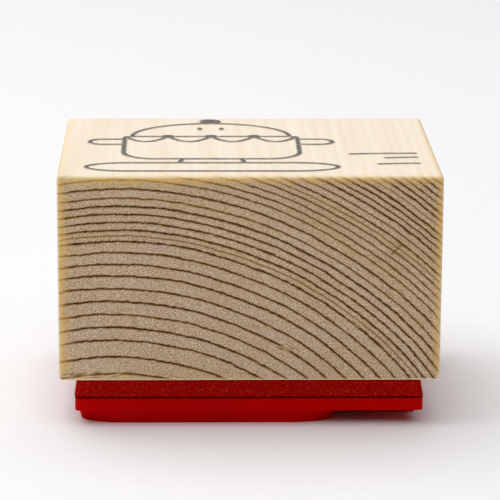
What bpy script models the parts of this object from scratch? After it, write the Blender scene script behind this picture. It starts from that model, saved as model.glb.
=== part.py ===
"""Wood-mounted rubber stamp.

A pine block carries a moulded rubber die on a foam cushion, held by two double-sided films, and
has the die's own picture printed on its top as an index. Lengths are in metres through MM, +Z is
up, and the origin is on the table under the block's centre, with the printing face down on it.
The block's end grain faces -Y, and its grain runs along Y.
"""
import math

import bmesh
import bpy
import numpy as np

MM = 0.001

# Wood block
BLOCK_WIDTH = 40.0 * MM
BLOCK_DEPTH = 30.0 * MM
BLOCK_HEIGHT = 22.0 * MM
BLOCK_EDGE_RADIUS = 0.45 * MM
BLOCK_EDGE_SEGMENTS = 3

# Rubber die: a flat sheet with the picture's ridges under it, moulded in one
DIE_SIDE_MARGIN = 1.6 * MM
DIE_FRONT_MARGIN = 1.4 * MM
DIE_BACK_MARGIN = 0.8 * MM
DIE_CORNER_RADIUS = 0.6 * MM
CORNER_SEGMENTS = 4
SHEET_THICKNESS = 1.4 * MM
RELIEF_HEIGHT = 1.5 * MM
RIDGE_DRAFT = math.radians(15.0)
RIDGE_ROOT = 0.25 * MM

# Foam cushion, cut wide at the die and leaning in towards the block
FOAM_THICKNESS = 2.0 * MM
FOAM_OVERHANG = 0.05 * MM
FOAM_FLARE = 0.3 * MM

# Double-sided films, cut a little inside what they hold, and the clearance between bonded faces
FILM_THICKNESS = 0.1 * MM
FILM_INSET = 0.15 * MM
BOND_GAP = 0.02 * MM

# Index print on the block's top
INK_THICKNESS = 0.03 * MM
PRINT_SHIFT_X = 0.5 * MM
PRINT_SHIFT_Y = 0.3 * MM

# Picture: a lidded pot on a tray, and three rules. It is drawn about its own centre, fits the
# die inside PICTURE_MARGIN, and DRAWN_WIDTH and DRAWN_DEPTH are its size over the lines as drawn.
PICTURE_MARGIN = 0.6 * MM
DRAWN_WIDTH = 35.5 * MM
DRAWN_DEPTH = 26.9 * MM
LINE_WIDTH = 0.42 * MM
POT_CENTRE_X = -4.4 * MM
POT_HALF_WIDTH = 9.4 * MM
POT_RIM_Y = 4.2 * MM
POT_BASE_Y = -7.3 * MM
POT_RIM_RADIUS = 0.9 * MM
POT_BASE_RADIUS = 3.4 * MM
LID_HALF_WIDTH = 8.6 * MM
LID_RISE = 7.0 * MM
KNOB_RADIUS = 1.12 * MM
HANDLE_REACH = 3.74 * MM
HANDLE_RADIUS = 1.35 * MM
HANDLE_Y = 1.4 * MM
SWAG_COUNT = 4
SWAG_DROP = 2.7 * MM
BEAD_RADIUS = 0.7 * MM
VENT_HEIGHT = 1.3 * MM
VENT_X = 1.2 * MM
VENT_Y = 7.6 * MM
FOOT_X = 3.1 * MM
FOOT_SPLAY = 0.35 * MM
TRAY_FRONT_Y = -13.24 * MM
TRAY_HALF_DEPTH = 2.0 * MM
TRAY_HALF_LENGTH = 13.14 * MM
TRAY_END_LENGTH = 4.5 * MM
RULE_RIGHT_X = 17.54 * MM
RULE_RISE = 0.35 * MM
RULE_BOW = 0.12 * MM
RULE_LENGTHS = {"long": 7.4 * MM, "short": 3.8 * MM, "middle": 4.7 * MM}
RULE_YS = {"long": -4.9 * MM, "short": -6.9 * MM, "middle": -9.9 * MM}

# Levels, from the table up
SHEET_BOTTOM = RELIEF_HEIGHT
SHEET_TOP = SHEET_BOTTOM + SHEET_THICKNESS
DIE_FILM_BOTTOM = SHEET_TOP + BOND_GAP
DIE_FILM_TOP = DIE_FILM_BOTTOM + FILM_THICKNESS
FOAM_BOTTOM = DIE_FILM_TOP + BOND_GAP
FOAM_TOP = FOAM_BOTTOM + FOAM_THICKNESS
BLOCK_FILM_BOTTOM = FOAM_TOP + BOND_GAP
BLOCK_FILM_TOP = BLOCK_FILM_BOTTOM + FILM_THICKNESS
BLOCK_BOTTOM = BLOCK_FILM_TOP + BOND_GAP
BLOCK_TOP = BLOCK_BOTTOM + BLOCK_HEIGHT
INK_BOTTOM = BLOCK_TOP + BOND_GAP

# Plan sizes that follow from the block and the margins
DIE_WIDTH = BLOCK_WIDTH - 2.0 * DIE_SIDE_MARGIN
DIE_DEPTH = BLOCK_DEPTH - DIE_FRONT_MARGIN - DIE_BACK_MARGIN
DIE_CENTRE_Y = (DIE_FRONT_MARGIN - DIE_BACK_MARGIN) / 2.0
PICTURE_SCALE_X = (DIE_WIDTH - 2.0 * PICTURE_MARGIN - LINE_WIDTH) / (DRAWN_WIDTH - LINE_WIDTH)
PICTURE_SCALE_Y = (DIE_DEPTH - 2.0 * PICTURE_MARGIN - LINE_WIDTH) / (DRAWN_DEPTH - LINE_WIDTH)


def clear_scene():
    """Remove whatever objects the file starts with."""
    for item in list(bpy.data.objects):
        bpy.data.objects.remove(item, do_unlink=True)


def new_collection(name):
    """A collection linked to the scene."""
    collection = bpy.data.collections.new(name)
    bpy.context.scene.collection.children.link(collection)
    return collection


def new_material(name, colour, roughness):
    """A dielectric Principled material of one colour."""
    material = bpy.data.materials.new(name)
    material.use_nodes = True
    shader = material.node_tree.nodes["Principled BSDF"]
    shader.inputs["Base Color"].default_value = (*colour, 1.0)
    shader.inputs["Roughness"].default_value = roughness
    shader.inputs["Metallic"].default_value = 0.0
    return material


def new_empty(name, location, collection):
    """An empty that a body's pieces hang from."""
    empty = bpy.data.objects.new(name, None)
    empty.location = location
    collection.objects.link(empty)
    return empty


def add_part(name, mesh, location, collection, material, parent):
    """An object for one piece, placed in the world through its parent."""
    part = bpy.data.objects.new(name, mesh)
    collection.objects.link(part)
    part.parent = parent
    part.location = [world - held for world, held in zip(location, parent.location)]
    mesh.materials.clear()
    mesh.materials.append(material)
    return part


def plate_mesh(name, width, depth, thickness, corner_radius, top_inset=0.0):
    """A flat plate on z = 0 with rounded corners, whose top may be drawn in on every side."""
    bm = bmesh.new()
    bmesh.ops.create_cube(bm, size=1.0)
    bmesh.ops.scale(bm, vec=(width, depth, thickness), verts=bm.verts)
    bmesh.ops.translate(bm, vec=(0.0, 0.0, thickness / 2.0), verts=bm.verts)
    if corner_radius > 0.0:
        uprights = [edge for edge in bm.edges
                    if abs(edge.verts[0].co.z - edge.verts[1].co.z) > thickness / 2.0]
        bmesh.ops.bevel(bm, geom=uprights, offset=corner_radius, segments=CORNER_SEGMENTS,
                        profile=0.5, affect="EDGES")
    top = [vert for vert in bm.verts if vert.co.z > thickness / 2.0]
    shrink = (1.0 - 2.0 * top_inset / width, 1.0 - 2.0 * top_inset / depth, 1.0)
    bmesh.ops.scale(bm, vec=shrink, verts=top)
    mesh = bpy.data.meshes.new(name)
    bm.to_mesh(mesh)
    bm.free()
    return mesh


def arc(centre, radii, start, stop, count):
    """Points on an ellipse's arc, from one angle to another in degrees."""
    angle = np.radians(np.linspace(start, stop, count))
    return np.column_stack((centre[0] + radii[0] * np.cos(angle), centre[1] + radii[1] * np.sin(angle)))


def pot_line():
    """The pot's closed outline: straight sides, small corners at the rim and large ones below."""
    left = POT_CENTRE_X - POT_HALF_WIDTH
    right = POT_CENTRE_X + POT_HALF_WIDTH
    rim, base = (POT_RIM_RADIUS,) * 2, (POT_BASE_RADIUS,) * 2
    return np.vstack((
        arc((right - rim[0], POT_RIM_Y - rim[1]), rim, 0.0, 90.0, 5),
        arc((left + rim[0], POT_RIM_Y - rim[1]), rim, 90.0, 180.0, 5),
        arc((left + base[0], POT_BASE_Y + base[1]), base, 180.0, 270.0, 9),
        arc((right - base[0], POT_BASE_Y + base[1]), base, 270.0, 360.0, 9)))


def lid_line():
    """The lid: half an ellipse standing on the pot's rim."""
    return arc((POT_CENTRE_X, POT_RIM_Y), (LID_HALF_WIDTH, LID_RISE), 0.0, 180.0, 29)


def handle_line(side):
    """A long side handle with a round end, starting and ending on the pot's side."""
    tip = POT_HALF_WIDTH + HANDLE_REACH - HANDLE_RADIUS
    bend = arc((tip, HANDLE_Y), (HANDLE_RADIUS, HANDLE_RADIUS), 90.0, -90.0, 13)
    points = np.vstack(((POT_HALF_WIDTH, HANDLE_Y + HANDLE_RADIUS), bend,
                        (POT_HALF_WIDTH, HANDLE_Y - HANDLE_RADIUS)))
    return points * (side, 1.0) + (POT_CENTRE_X, 0.0)


def swag_line(index):
    """One hanging swag, a parabola between two points of the rim."""
    step = 2.0 * POT_HALF_WIDTH / SWAG_COUNT
    along = np.linspace(-1.0, 1.0, 13)
    middle = POT_CENTRE_X - POT_HALF_WIDTH + step * (index + 0.5)
    return np.column_stack((middle + along * step / 2.0, POT_RIM_Y - SWAG_DROP * (1.0 - along ** 2)))


def bead_centres():
    """The points of the rim where two swags meet."""
    step = 2.0 * POT_HALF_WIDTH / SWAG_COUNT
    return [(POT_CENTRE_X - POT_HALF_WIDTH + step * index, POT_RIM_Y) for index in range(1, SWAG_COUNT)]


def foot_line(side):
    """A short foot from the pot's base to the tray's back line, splayed outwards."""
    return np.array(((POT_CENTRE_X + side * FOOT_X, POT_BASE_Y),
                     (POT_CENTRE_X + side * (FOOT_X + FOOT_SPLAY), TRAY_FRONT_Y + 2.0 * TRAY_HALF_DEPTH)))


def vent_line(side):
    """A short upright stroke on the lid."""
    x = POT_CENTRE_X + side * VENT_X
    return np.array(((x, VENT_Y), (x, VENT_Y + VENT_HEIGHT)))


def tray_line():
    """The tray's closed outline: straight long sides and half-ellipses for ends."""
    centre_y = TRAY_FRONT_Y + TRAY_HALF_DEPTH
    reach = TRAY_HALF_LENGTH - TRAY_END_LENGTH
    radii = (TRAY_END_LENGTH, TRAY_HALF_DEPTH)
    return np.vstack((arc((POT_CENTRE_X + reach, centre_y), radii, -90.0, 90.0, 17),
                      arc((POT_CENTRE_X - reach, centre_y), radii, 90.0, 270.0, 17)))


def rule_line(kind):
    """One short rule that rises a little to the right with a slight bow."""
    along = np.linspace(0.0, 1.0, 7)
    x = RULE_RIGHT_X - RULE_LENGTHS[kind] * (1.0 - along)
    y = RULE_YS[kind] + RULE_RISE * along + RULE_BOW * 4.0 * along * (1.0 - along)
    return np.column_stack((x, y))


def connected_lines():
    """Every line of the pot and tray as (name, points, closed), all of which touch."""
    lines = [("tray", tray_line(), True), ("pot", pot_line(), True), ("lid", lid_line(), False)]
    lines += [(f"handle_{word}", handle_line(side), False) for word, side in (("left", -1.0), ("right", 1.0))]
    lines += [(f"foot_{word}", foot_line(side), False) for word, side in (("left", -1.0), ("right", 1.0))]
    lines += [(f"swag_{index + 1}", swag_line(index), False) for index in range(SWAG_COUNT)]
    return lines


def loose_lines():
    """The lines that stand by themselves, as (name, points)."""
    lines = [(f"vent_{word}", vent_line(side)) for word, side in (("left", -1.0), ("right", 1.0))]
    return lines + [(f"rule_{kind}", rule_line(kind)) for kind in RULE_LENGTHS]


def spots():
    """The filled round spots as (name, centre, radius)."""
    lid_top = (POT_CENTRE_X, POT_RIM_Y + LID_RISE + KNOB_RADIUS)
    beads = [(f"bead_{index + 1}", centre, BEAD_RADIUS) for index, centre in enumerate(bead_centres())]
    return [("knob", lid_top, KNOB_RADIUS)] + beads


def fitted(points):
    """Points of the drawing, stretched to fill the die."""
    return np.asarray(points) * (PICTURE_SCALE_X, PICTURE_SCALE_Y)


def section_curve(name, corners, collection):
    """A closed line that a stroke is swept with: x across the stroke, y up."""
    curve = bpy.data.curves.new(name, "CURVE")
    curve.dimensions = "2D"
    curve.fill_mode = "NONE"
    spline = curve.splines.new("POLY")
    spline.points.add(len(corners) - 1)
    for point, (x, y) in zip(spline.points, corners):
        point.co = (x, y, 0.0, 1.0)
    spline.use_cyclic_u = True
    guide = bpy.data.objects.new(name, curve)
    guide.hide_render = True
    guide.display_type = "WIRE"
    collection.objects.link(guide)
    return guide


def stroke_mesh(name, points, closed, section):
    """The solid that a section leaves along a flat line, as a welded mesh."""
    curve = bpy.data.curves.new(name, "CURVE")
    curve.dimensions = "3D"
    curve.twist_mode = "Z_UP"
    curve.bevel_mode = "OBJECT"
    curve.bevel_object = section
    curve.use_fill_caps = not closed
    spline = curve.splines.new("POLY")
    spline.points.add(len(points) - 1)
    for point, (x, y) in zip(spline.points, points):
        point.co = (x, y, 0.0, 1.0)
    spline.use_cyclic_u = closed
    guide = bpy.data.objects.new(name, curve)
    bpy.context.scene.collection.objects.link(guide)
    bpy.context.view_layer.update()
    evaluated = guide.evaluated_get(bpy.context.evaluated_depsgraph_get())
    mesh = bpy.data.meshes.new_from_object(evaluated)
    bpy.data.objects.remove(guide, do_unlink=True)
    weld_outward(mesh)
    return mesh


def spot_mesh(name, centre, bottom_radius, top_radius, height):
    """A round spot standing on z = 0, its top and bottom of their own radii."""
    bm = bmesh.new()
    bmesh.ops.create_cone(bm, cap_ends=True, segments=24, radius1=bottom_radius, radius2=top_radius,
                          depth=height)
    bmesh.ops.translate(bm, vec=(centre[0], centre[1], height / 2.0), verts=bm.verts)
    mesh = bpy.data.meshes.new(name)
    bm.to_mesh(mesh)
    bm.free()
    return mesh


def weld_outward(mesh):
    """Join a swept mesh's caps to its wall and turn its faces out."""
    bm = bmesh.new()
    bm.from_mesh(mesh)
    bmesh.ops.remove_doubles(bm, verts=bm.verts, dist=0.001 * MM)
    bmesh.ops.recalc_face_normals(bm, faces=bm.faces)
    bm.to_mesh(mesh)
    bm.free()


def add_cutter(name, mesh, location, collection):
    """A solid that a Boolean reads, kept out of the finished object."""
    cutter = bpy.data.objects.new(name, mesh)
    cutter.location = location
    cutter.hide_render = True
    cutter.display_type = "WIRE"
    collection.objects.link(cutter)
    return cutter


def join_all(part, pieces):
    """Union a part with every object of a collection."""
    union = part.modifiers.new("join", "BOOLEAN")
    union.operation = "UNION"
    union.operand_type = "COLLECTION"
    union.collection = pieces
    union.solver = "EXACT"
    return union


def make_wood_block(collection, material, parent):
    """The block, with its edges sanded round."""
    mesh = plate_mesh("wood_block", BLOCK_WIDTH, BLOCK_DEPTH, BLOCK_HEIGHT, 0.0)
    block = add_part("wood_block", mesh, (0.0, 0.0, BLOCK_BOTTOM), collection, material, parent)
    rounding = block.modifiers.new("eased_edges", "BEVEL")
    rounding.width = BLOCK_EDGE_RADIUS
    rounding.segments = BLOCK_EDGE_SEGMENTS
    return block


def make_films(collection, material, die_body, block_body):
    """The two double-sided films: one inside the die's outline, one inside the cushion's top."""
    die_film = plate_mesh("die_adhesive", DIE_WIDTH - 2.0 * FILM_INSET, DIE_DEPTH - 2.0 * FILM_INSET,
                          FILM_THICKNESS, DIE_CORNER_RADIUS)
    add_part("die_adhesive", die_film, (0.0, DIE_CENTRE_Y, DIE_FILM_BOTTOM), collection, material, die_body)
    spread = 2.0 * (FOAM_OVERHANG - FOAM_FLARE - FILM_INSET)
    block_film = plate_mesh("block_adhesive", DIE_WIDTH + spread, DIE_DEPTH + spread, FILM_THICKNESS,
                            DIE_CORNER_RADIUS)
    add_part("block_adhesive", block_film, (0.0, DIE_CENTRE_Y, BLOCK_FILM_BOTTOM), collection, material,
             block_body)


def make_foam_cushion(collection, material, parent):
    """The cushion, wider at the die than at the block."""
    mesh = plate_mesh("foam_cushion", DIE_WIDTH + 2.0 * FOAM_OVERHANG, DIE_DEPTH + 2.0 * FOAM_OVERHANG,
                      FOAM_THICKNESS, DIE_CORNER_RADIUS, FOAM_FLARE)
    return add_part("foam_cushion", mesh, (0.0, DIE_CENTRE_Y, FOAM_BOTTOM), collection, material, parent)


def make_rubber_die(collection, cutters, material, parent):
    """The rubber sheet and every ridge of the picture, joined into one moulding."""
    mesh = plate_mesh("rubber_die", DIE_WIDTH, DIE_DEPTH, SHEET_THICKNESS, DIE_CORNER_RADIUS)
    die = add_part("rubber_die", mesh, (0.0, DIE_CENTRE_Y, SHEET_BOTTOM), collection, material, parent)
    height = RELIEF_HEIGHT + RIDGE_ROOT
    spread = height * math.tan(RIDGE_DRAFT)
    face = LINE_WIDTH / 2.0
    section = section_curve("ridge_section", ((-face, 0.0), (face, 0.0), (face + spread, height),
                                              (-face - spread, height)), cutters)
    ridges = new_collection("stamp_ridges")
    cutters.children.link(ridges)
    bpy.context.scene.collection.children.unlink(ridges)
    place = (0.0, DIE_CENTRE_Y, 0.0)
    lines = connected_lines() + [(name, points, False) for name, points in loose_lines()]
    for name, points, closed in lines:
        mesh = stroke_mesh(f"ridge_{name}", fitted(points), closed, section)
        add_cutter(f"ridge_{name}", mesh, place, ridges)
    for name, centre, radius in spots():
        mesh = spot_mesh(f"ridge_{name}", fitted(centre), radius, radius + spread, height)
        add_cutter(f"ridge_{name}", mesh, place, ridges)
    join_all(die, ridges)
    return die


def make_index_print(collection, cutters, material, parent):
    """The ink: one film for the pot and tray, and one for each line that stands alone."""
    half = LINE_WIDTH / 2.0
    section = section_curve("ink_section", ((-half, 0.0), (half, 0.0), (half, INK_THICKNESS),
                                            (-half, INK_THICKNESS)), cutters)
    place = (PRINT_SHIFT_X, DIE_CENTRE_Y + PRINT_SHIFT_Y, INK_BOTTOM)
    strokes = new_collection("stamp_print_strokes")
    cutters.children.link(strokes)
    bpy.context.scene.collection.children.unlink(strokes)
    name, points, closed = connected_lines()[0]
    first = stroke_mesh(f"ink_{name}", fitted(points), closed, section)
    picture = add_part("print_pot_and_tray", first, place, collection, material, parent)
    for name, points, closed in connected_lines()[1:]:
        add_cutter(f"ink_{name}", stroke_mesh(f"ink_{name}", fitted(points), closed, section), place, strokes)
    for name, centre, radius in spots():
        mesh = spot_mesh(f"ink_{name}", fitted(centre), radius, radius, INK_THICKNESS)
        add_cutter(f"ink_{name}", mesh, place, strokes)
    join_all(picture, strokes)
    for name, points in loose_lines():
        mesh = stroke_mesh(f"print_{name}", fitted(points), False, section)
        add_part(f"print_{name}", mesh, place, collection, material, parent)


def main():
    clear_scene()
    stamp = new_collection("rubber_stamp")
    cutters = new_collection("rubber_stamp_cutters")
    pine = new_material("pine", (0.66, 0.52, 0.36), 0.65)
    rubber = new_material("red_rubber", (0.42, 0.005, 0.01), 0.45)
    foam = new_material("red_foam", (0.26, 0.006, 0.012), 0.85)
    film = new_material("clear_film", (0.72, 0.60, 0.50), 0.30)
    ink = new_material("grey_ink", (0.16, 0.17, 0.18), 0.60)
    die_body = new_empty("die_body", (0.0, 0.0, 0.0), stamp)
    block_body = new_empty("block_body", (0.0, 0.0, FOAM_TOP), stamp)
    make_rubber_die(stamp, cutters, rubber, die_body)
    make_foam_cushion(stamp, foam, die_body)
    make_films(stamp, film, die_body, block_body)
    make_wood_block(stamp, pine, block_body)
    make_index_print(stamp, cutters, ink, block_body)


main()
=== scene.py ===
"""Looks of a wood-mounted rubber stamp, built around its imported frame.

The block is pine with its growth rings showing on the end grain, over a red foam cushion and a
moulded red die. The die's picture is printed in grey ink on the block's top. Lengths are metres.
"""
import math

import bpy
import numpy as np
from mathutils import Matrix, Vector


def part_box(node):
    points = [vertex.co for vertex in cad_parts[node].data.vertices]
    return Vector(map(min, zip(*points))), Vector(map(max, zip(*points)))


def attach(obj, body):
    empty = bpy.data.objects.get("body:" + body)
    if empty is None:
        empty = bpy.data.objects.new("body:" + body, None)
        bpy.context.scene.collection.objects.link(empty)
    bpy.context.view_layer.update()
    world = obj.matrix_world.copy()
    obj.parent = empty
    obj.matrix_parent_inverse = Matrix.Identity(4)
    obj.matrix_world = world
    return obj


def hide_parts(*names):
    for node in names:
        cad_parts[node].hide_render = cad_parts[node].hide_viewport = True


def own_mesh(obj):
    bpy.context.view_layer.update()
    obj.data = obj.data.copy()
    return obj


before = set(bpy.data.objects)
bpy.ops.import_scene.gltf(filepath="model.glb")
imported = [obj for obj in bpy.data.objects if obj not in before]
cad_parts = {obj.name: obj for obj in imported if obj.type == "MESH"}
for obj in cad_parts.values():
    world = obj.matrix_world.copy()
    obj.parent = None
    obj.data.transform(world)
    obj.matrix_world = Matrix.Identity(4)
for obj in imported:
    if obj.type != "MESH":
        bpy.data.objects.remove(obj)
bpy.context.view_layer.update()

MM = 0.001

# Places that come from the frame
WOOD_LOW, WOOD_HIGH = (np.array(corner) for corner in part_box("wood_block"))
FOAM_LOW, FOAM_HIGH = (np.array(corner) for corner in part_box("foam_cushion"))
DIE_LOW, DIE_HIGH = (np.array(corner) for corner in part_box("rubber_die"))
INK_LOW, INK_HIGH = (np.array(corner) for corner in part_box("print_pot_and_tray"))

# Pine block
EDGE_RADIUS = 0.45 * MM
RIM_STEPS = 5
END_GRAIN_STEP = 0.2 * MM
LONG_GRAIN_STEP = 0.5 * MM
# Late wood stands proud by this, within this reach, and by this share on the long grain
RING_RELIEF = 0.022 * MM
RIDGE_REACH = 0.13 * MM
LONG_GRAIN_SHARE = 0.35
# Saw marks on the ends, in two sizes of noise, and dents along the edges
SAW_RELIEF = 0.010 * MM
SAW_CELLS = (0.45 * MM, 1.7 * MM)
SAW_COARSE_SHARE = 0.6
EDGE_DENTS = 0.05 * MM
DENT_CELL = 2.6 * MM

# Growth rings: the pith lies below the block, in from its left, and turns right and drops as it runs back
PITH_IN = 6.14 * MM
PITH_BELOW = 24.0 * MM
PITH_TURN = 0.012
PITH_DROP = 0.010
FIRST_RING = 24.9 * MM
# Runs of good and lean years outwards from the first ring: how many rings, and how wide in millimetres
SEASONS = ((2, 1.8), (5, 1.38), (3, 1.22), (2, 0.58), (4, 0.85), (2, 0.98), (3, 0.73), (2, 0.55), (2, 0.73),
           (16, 0.6))
# Waves in a ring: height in millimetres, phase for a radian of angle, and phase for a millimetre of radius
RING_WAVES = ((0.085, 7.0, 0.16), (0.035, 17.0, -0.35), (0.016, 43.0, 1.3))
# A wave that also comes and goes along the grain: height, phase for a radian, and for a millimetre along
LONG_WAVE = (0.035, 9.0, 0.21)
# How dark the rings are: from the inner to the outer ones by number, and how unlike each other
RING_DARKNESS = 0.93
INNER_TO_OUTER = (10.0, 20.0)
OUTER_RINGS_PALER = 0.18
DARKNESS_SPREAD = 0.24
BOLD_RINGS = (1, 3, 5, 7, 10, 15, 17, 25, 28)
BOLD_EXTRA = 0.30
FAINT_RINGS = (11, 22, 29)
FAINT_DARKNESS = 0.38

# Marks on the front end grain, in millimetres across and up from the block's low corner
# Where the saw tore the fibres: a place and its half sizes
TORN_PLACES = ((4.0, 0.75, 4.6, 0.55), (10.5, 0.35, 3.0, 0.35), (23.6, 3.4, 1.7, 0.7), (20.9, 5.9, 1.3, 0.35),
               (31.0, 6.2, 1.2, 0.4), (35.2, 9.5, 0.9, 0.5))
# A short drying check across two rings: its lower and upper end
CHECK_ENDS = ((34.7, 13.75), (35.65, 14.65))
CHECK_REACH = 0.24 * MM
MARKS_FADE = (2.0 * MM, 6.0 * MM)

# Golden wood and painted highlight along the block's eased edges: how far it reaches, and how that changes
# from place to place
GOLDEN_REACH = 0.55 * MM
GOLDEN_WANDER = 0.35
GOLDEN_WANDER_CELL = 0.9 * MM
GOLDEN_LEFT_EXTRA = 0.35
GOLDEN_LEFT_SPAN = 12.0 * MM
GOLDEN_LOW_LOSS = 0.62
GOLDEN_LOW_SPAN = (0.4 * MM, 1.4 * MM)

# Rubber die
SHEET_CORNER = 0.6 * MM
RELIEF_HEIGHT = 1.5 * MM
RIDGE_RUN = 0.42 * MM
DIE_STEP = 0.115 * MM
DIE_WALL_LEVELS = 9
LINE_STEP = 0.06 * MM
SEARCH_REACH = 3.0 * MM
SEARCH_ROWS = 4000
# The mould's floor is a little uneven, and the knife's cut goes a little in and wanders
FLOOR_WAVE = 0.02 * MM
FLOOR_WAVE_CELL = 1.1 * MM
CUT_DEPTH = 0.02 * MM
CUT_WAVE = 0.018 * MM
CUT_CELL = 0.5 * MM
CUT_STRETCH = 0.25
SHARP_ANGLE = 50.0

# Foam cushion
FOAM_FLARE = 0.3 * MM
FOAM_CORNER = 0.6 * MM
FOAM_STEP = 0.2 * MM
FOAM_LEVEL_STEP = 0.15 * MM
FOAM_HOLLOW = 1.7
# Open cells on the cut: how deep on average, how unlike, and two sizes of noise
CELL_DEPTH = 0.03 * MM
CELL_SPREAD = 0.035 * MM
CELL_SIZES = (0.32 * MM, 0.8 * MM)
CELL_COARSE_SHARE = 0.7

# Ink strokes on the block's top
INK_STEP = 0.12 * MM
INK_WIDTH_SHARE = 0.72
# How far the stroke's width wanders, as a share, and over what length
INK_SIDES_SPREAD = ((0.10, 0.9 * MM), (0.07, 0.3 * MM))
# An open end is rounded and fades within these shares of the line width, and stays a little blunt
INK_END_ROUND = 0.6
INK_END_FADE = 0.35
INK_END_BLUNT = 0.97
INK_SPOT_EXTRA = 0.12 * MM
INK_SPOT_RIM = 0.3 * MM

# Picture, drawn about its own centre and stretched to fill the die inside its margin
LINE_WIDTH = 0.42 * MM
PICTURE_MARGIN = 0.6 * MM
DRAWN_WIDTH = 35.5 * MM
DRAWN_DEPTH = 26.9 * MM
POT_CENTRE_X = -4.4 * MM
POT_HALF_WIDTH = 9.4 * MM
POT_RIM_Y = 4.2 * MM
POT_BASE_Y = -7.3 * MM
POT_RIM_RADIUS = 0.9 * MM
POT_BASE_RADIUS = 3.4 * MM
LID_HALF_WIDTH = 8.6 * MM
LID_RISE = 7.0 * MM
KNOB_RADIUS = 1.12 * MM
HANDLE_REACH = 3.74 * MM
HANDLE_RADIUS = 1.35 * MM
HANDLE_Y = 1.4 * MM
SWAG_COUNT = 4
SWAG_DROP = 2.7 * MM
BEAD_RADIUS = 0.7 * MM
VENT_HEIGHT = 1.3 * MM
VENT_X = 1.2 * MM
VENT_Y = 7.6 * MM
FOOT_X = 3.1 * MM
FOOT_SPLAY = 0.35 * MM
TRAY_FRONT_Y = -13.24 * MM
TRAY_HALF_DEPTH = 2.0 * MM
TRAY_HALF_LENGTH = 13.14 * MM
TRAY_END_LENGTH = 4.5 * MM
RULE_RIGHT_X = 17.54 * MM
RULE_RISE = 0.35 * MM
RULE_BOW = 0.12 * MM
RULE_LENGTHS = {"long": 7.4 * MM, "short": 3.8 * MM, "middle": 4.7 * MM}
RULE_YS = {"long": -4.9 * MM, "short": -6.9 * MM, "middle": -9.9 * MM}
PRINT_SHIFT_X = 0.5 * MM
PRINT_SHIFT_Y = 0.3 * MM

DIE_CENTRE = (DIE_LOW + DIE_HIGH) / 2.0
DIE_SIZE = DIE_HIGH - DIE_LOW
PICTURE_SCALE = ((DIE_SIZE[:2] - 2.0 * PICTURE_MARGIN - LINE_WIDTH)
                 / (np.array((DRAWN_WIDTH, DRAWN_DEPTH)) - LINE_WIDTH))


# ---------------------------------------------------------------- small numeric tools

def smooth_step(low, high, value):
    """0 below low, 1 above high, and 3t^2 - 2t^3 between."""
    t = np.clip((value - low) / (high - low), 0.0, 1.0)
    return t * t * (3.0 - 2.0 * t)


def lattice_noise(points, cell, seed):
    """Smooth noise from -1 to 1: random values at the corners of cubes, blended with 3t^2 - 2t^3.

    cell is the cubes' size. The corner's three whole numbers and the seed are multiplied by large odd
    numbers and mixed bit by bit, so the same corner gives the same value each time."""
    scaled = np.asarray(points) / cell
    base = np.floor(scaled).astype(np.int64)
    part = scaled - base
    part = part * part * (3.0 - 2.0 * part)
    total = np.zeros(len(scaled))
    for corner in np.ndindex(2, 2, 2):
        spot = base + np.array(corner)
        mixed = spot[:, 0] * 73856093 ^ spot[:, 1] * 19349663 ^ spot[:, 2] * 83492791 ^ seed * 2654435761
        mixed = (mixed ^ (mixed >> 13)) * 1274126177
        value = ((mixed ^ (mixed >> 16)) & 0xFFFF) / 32767.5 - 1.0
        weight = np.prod(np.where(np.array(corner) == 1, part, 1.0 - part), axis=1)
        total += weight * value
    return total


def put_mesh(name, points, faces, smooth=True):
    """An object at the origin from an array of points and a list of faces."""
    mesh = bpy.data.meshes.new(name)
    mesh.from_pydata(points.tolist(), [], faces)
    mesh.validate()
    if smooth:
        mesh.shade_smooth()
    else:
        mesh.shade_flat()
    piece = bpy.data.objects.new(name, mesh)
    bpy.context.scene.collection.objects.link(piece)
    return piece


def put_attribute(piece, name, values):
    """One number a point, for the material to read."""
    attribute = piece.data.attributes.new(name, "FLOAT", "POINT")
    attribute.data.foreach_set("value", np.asarray(values, np.float32))


def finish_piece(piece, material, body, nodes):
    """Gives a piece its material and body, and hides the frame's nodes that it stands for."""
    piece.data.materials.append(material)
    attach(piece, body)
    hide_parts(*nodes)


def box_shell(ticks):
    """Points and outward quads of a closed box whose six faces carry the grid of three tick lists."""
    counts = [len(tick) for tick in ticks]
    keys = []
    for axis in range(3):
        b, c = (axis + 1) % 3, (axis + 2) % 3
        for side in (0, counts[axis] - 1):
            index = [None, None, None]
            index[b], index[c] = np.meshgrid(np.arange(counts[b]), np.arange(counts[c]), indexing="ij")
            index[axis] = np.full_like(index[b], side)
            key = (index[0] * counts[1] + index[1]) * counts[2] + index[2]
            quads = np.stack((key[:-1, :-1], key[1:, :-1], key[1:, 1:], key[:-1, 1:]), axis=-1)
            quads = quads.reshape(-1, 4)
            keys.append(quads if side else quads[:, ::-1])
    keys = np.concatenate(keys)
    used, faces = np.unique(keys, return_inverse=True)
    k = used % counts[2]
    j = (used // counts[2]) % counts[1]
    i = used // (counts[1] * counts[2])
    points = np.column_stack((ticks[0][i], ticks[1][j], ticks[2][k]))
    return points, faces.reshape(-1, 4)


def eased_ticks(half, radius, step):
    """Ticks from -half to half: even across the flat, and at even angles round each eased edge."""
    rim = half - radius + radius * np.tan(np.radians(np.linspace(0.0, 45.0, RIM_STEPS)))
    flat = np.linspace(radius - half, half - radius, max(2, round(2.0 * (half - radius) / step) + 1))
    return np.concatenate((-rim[:0:-1], flat, rim[1:]))


def eased_points(points, half, radius):
    """A box's points moved onto its rounded edges and corners, and the way out at each point.

    Each point goes to the nearest place in the core box plus the radius along the way out of it."""
    core = np.clip(points, radius - half, half - radius)
    out = points - core
    out /= np.linalg.norm(out, axis=1, keepdims=True)
    return core + out * radius, out


# ---------------------------------------------------------------- the picture's lines

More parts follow.
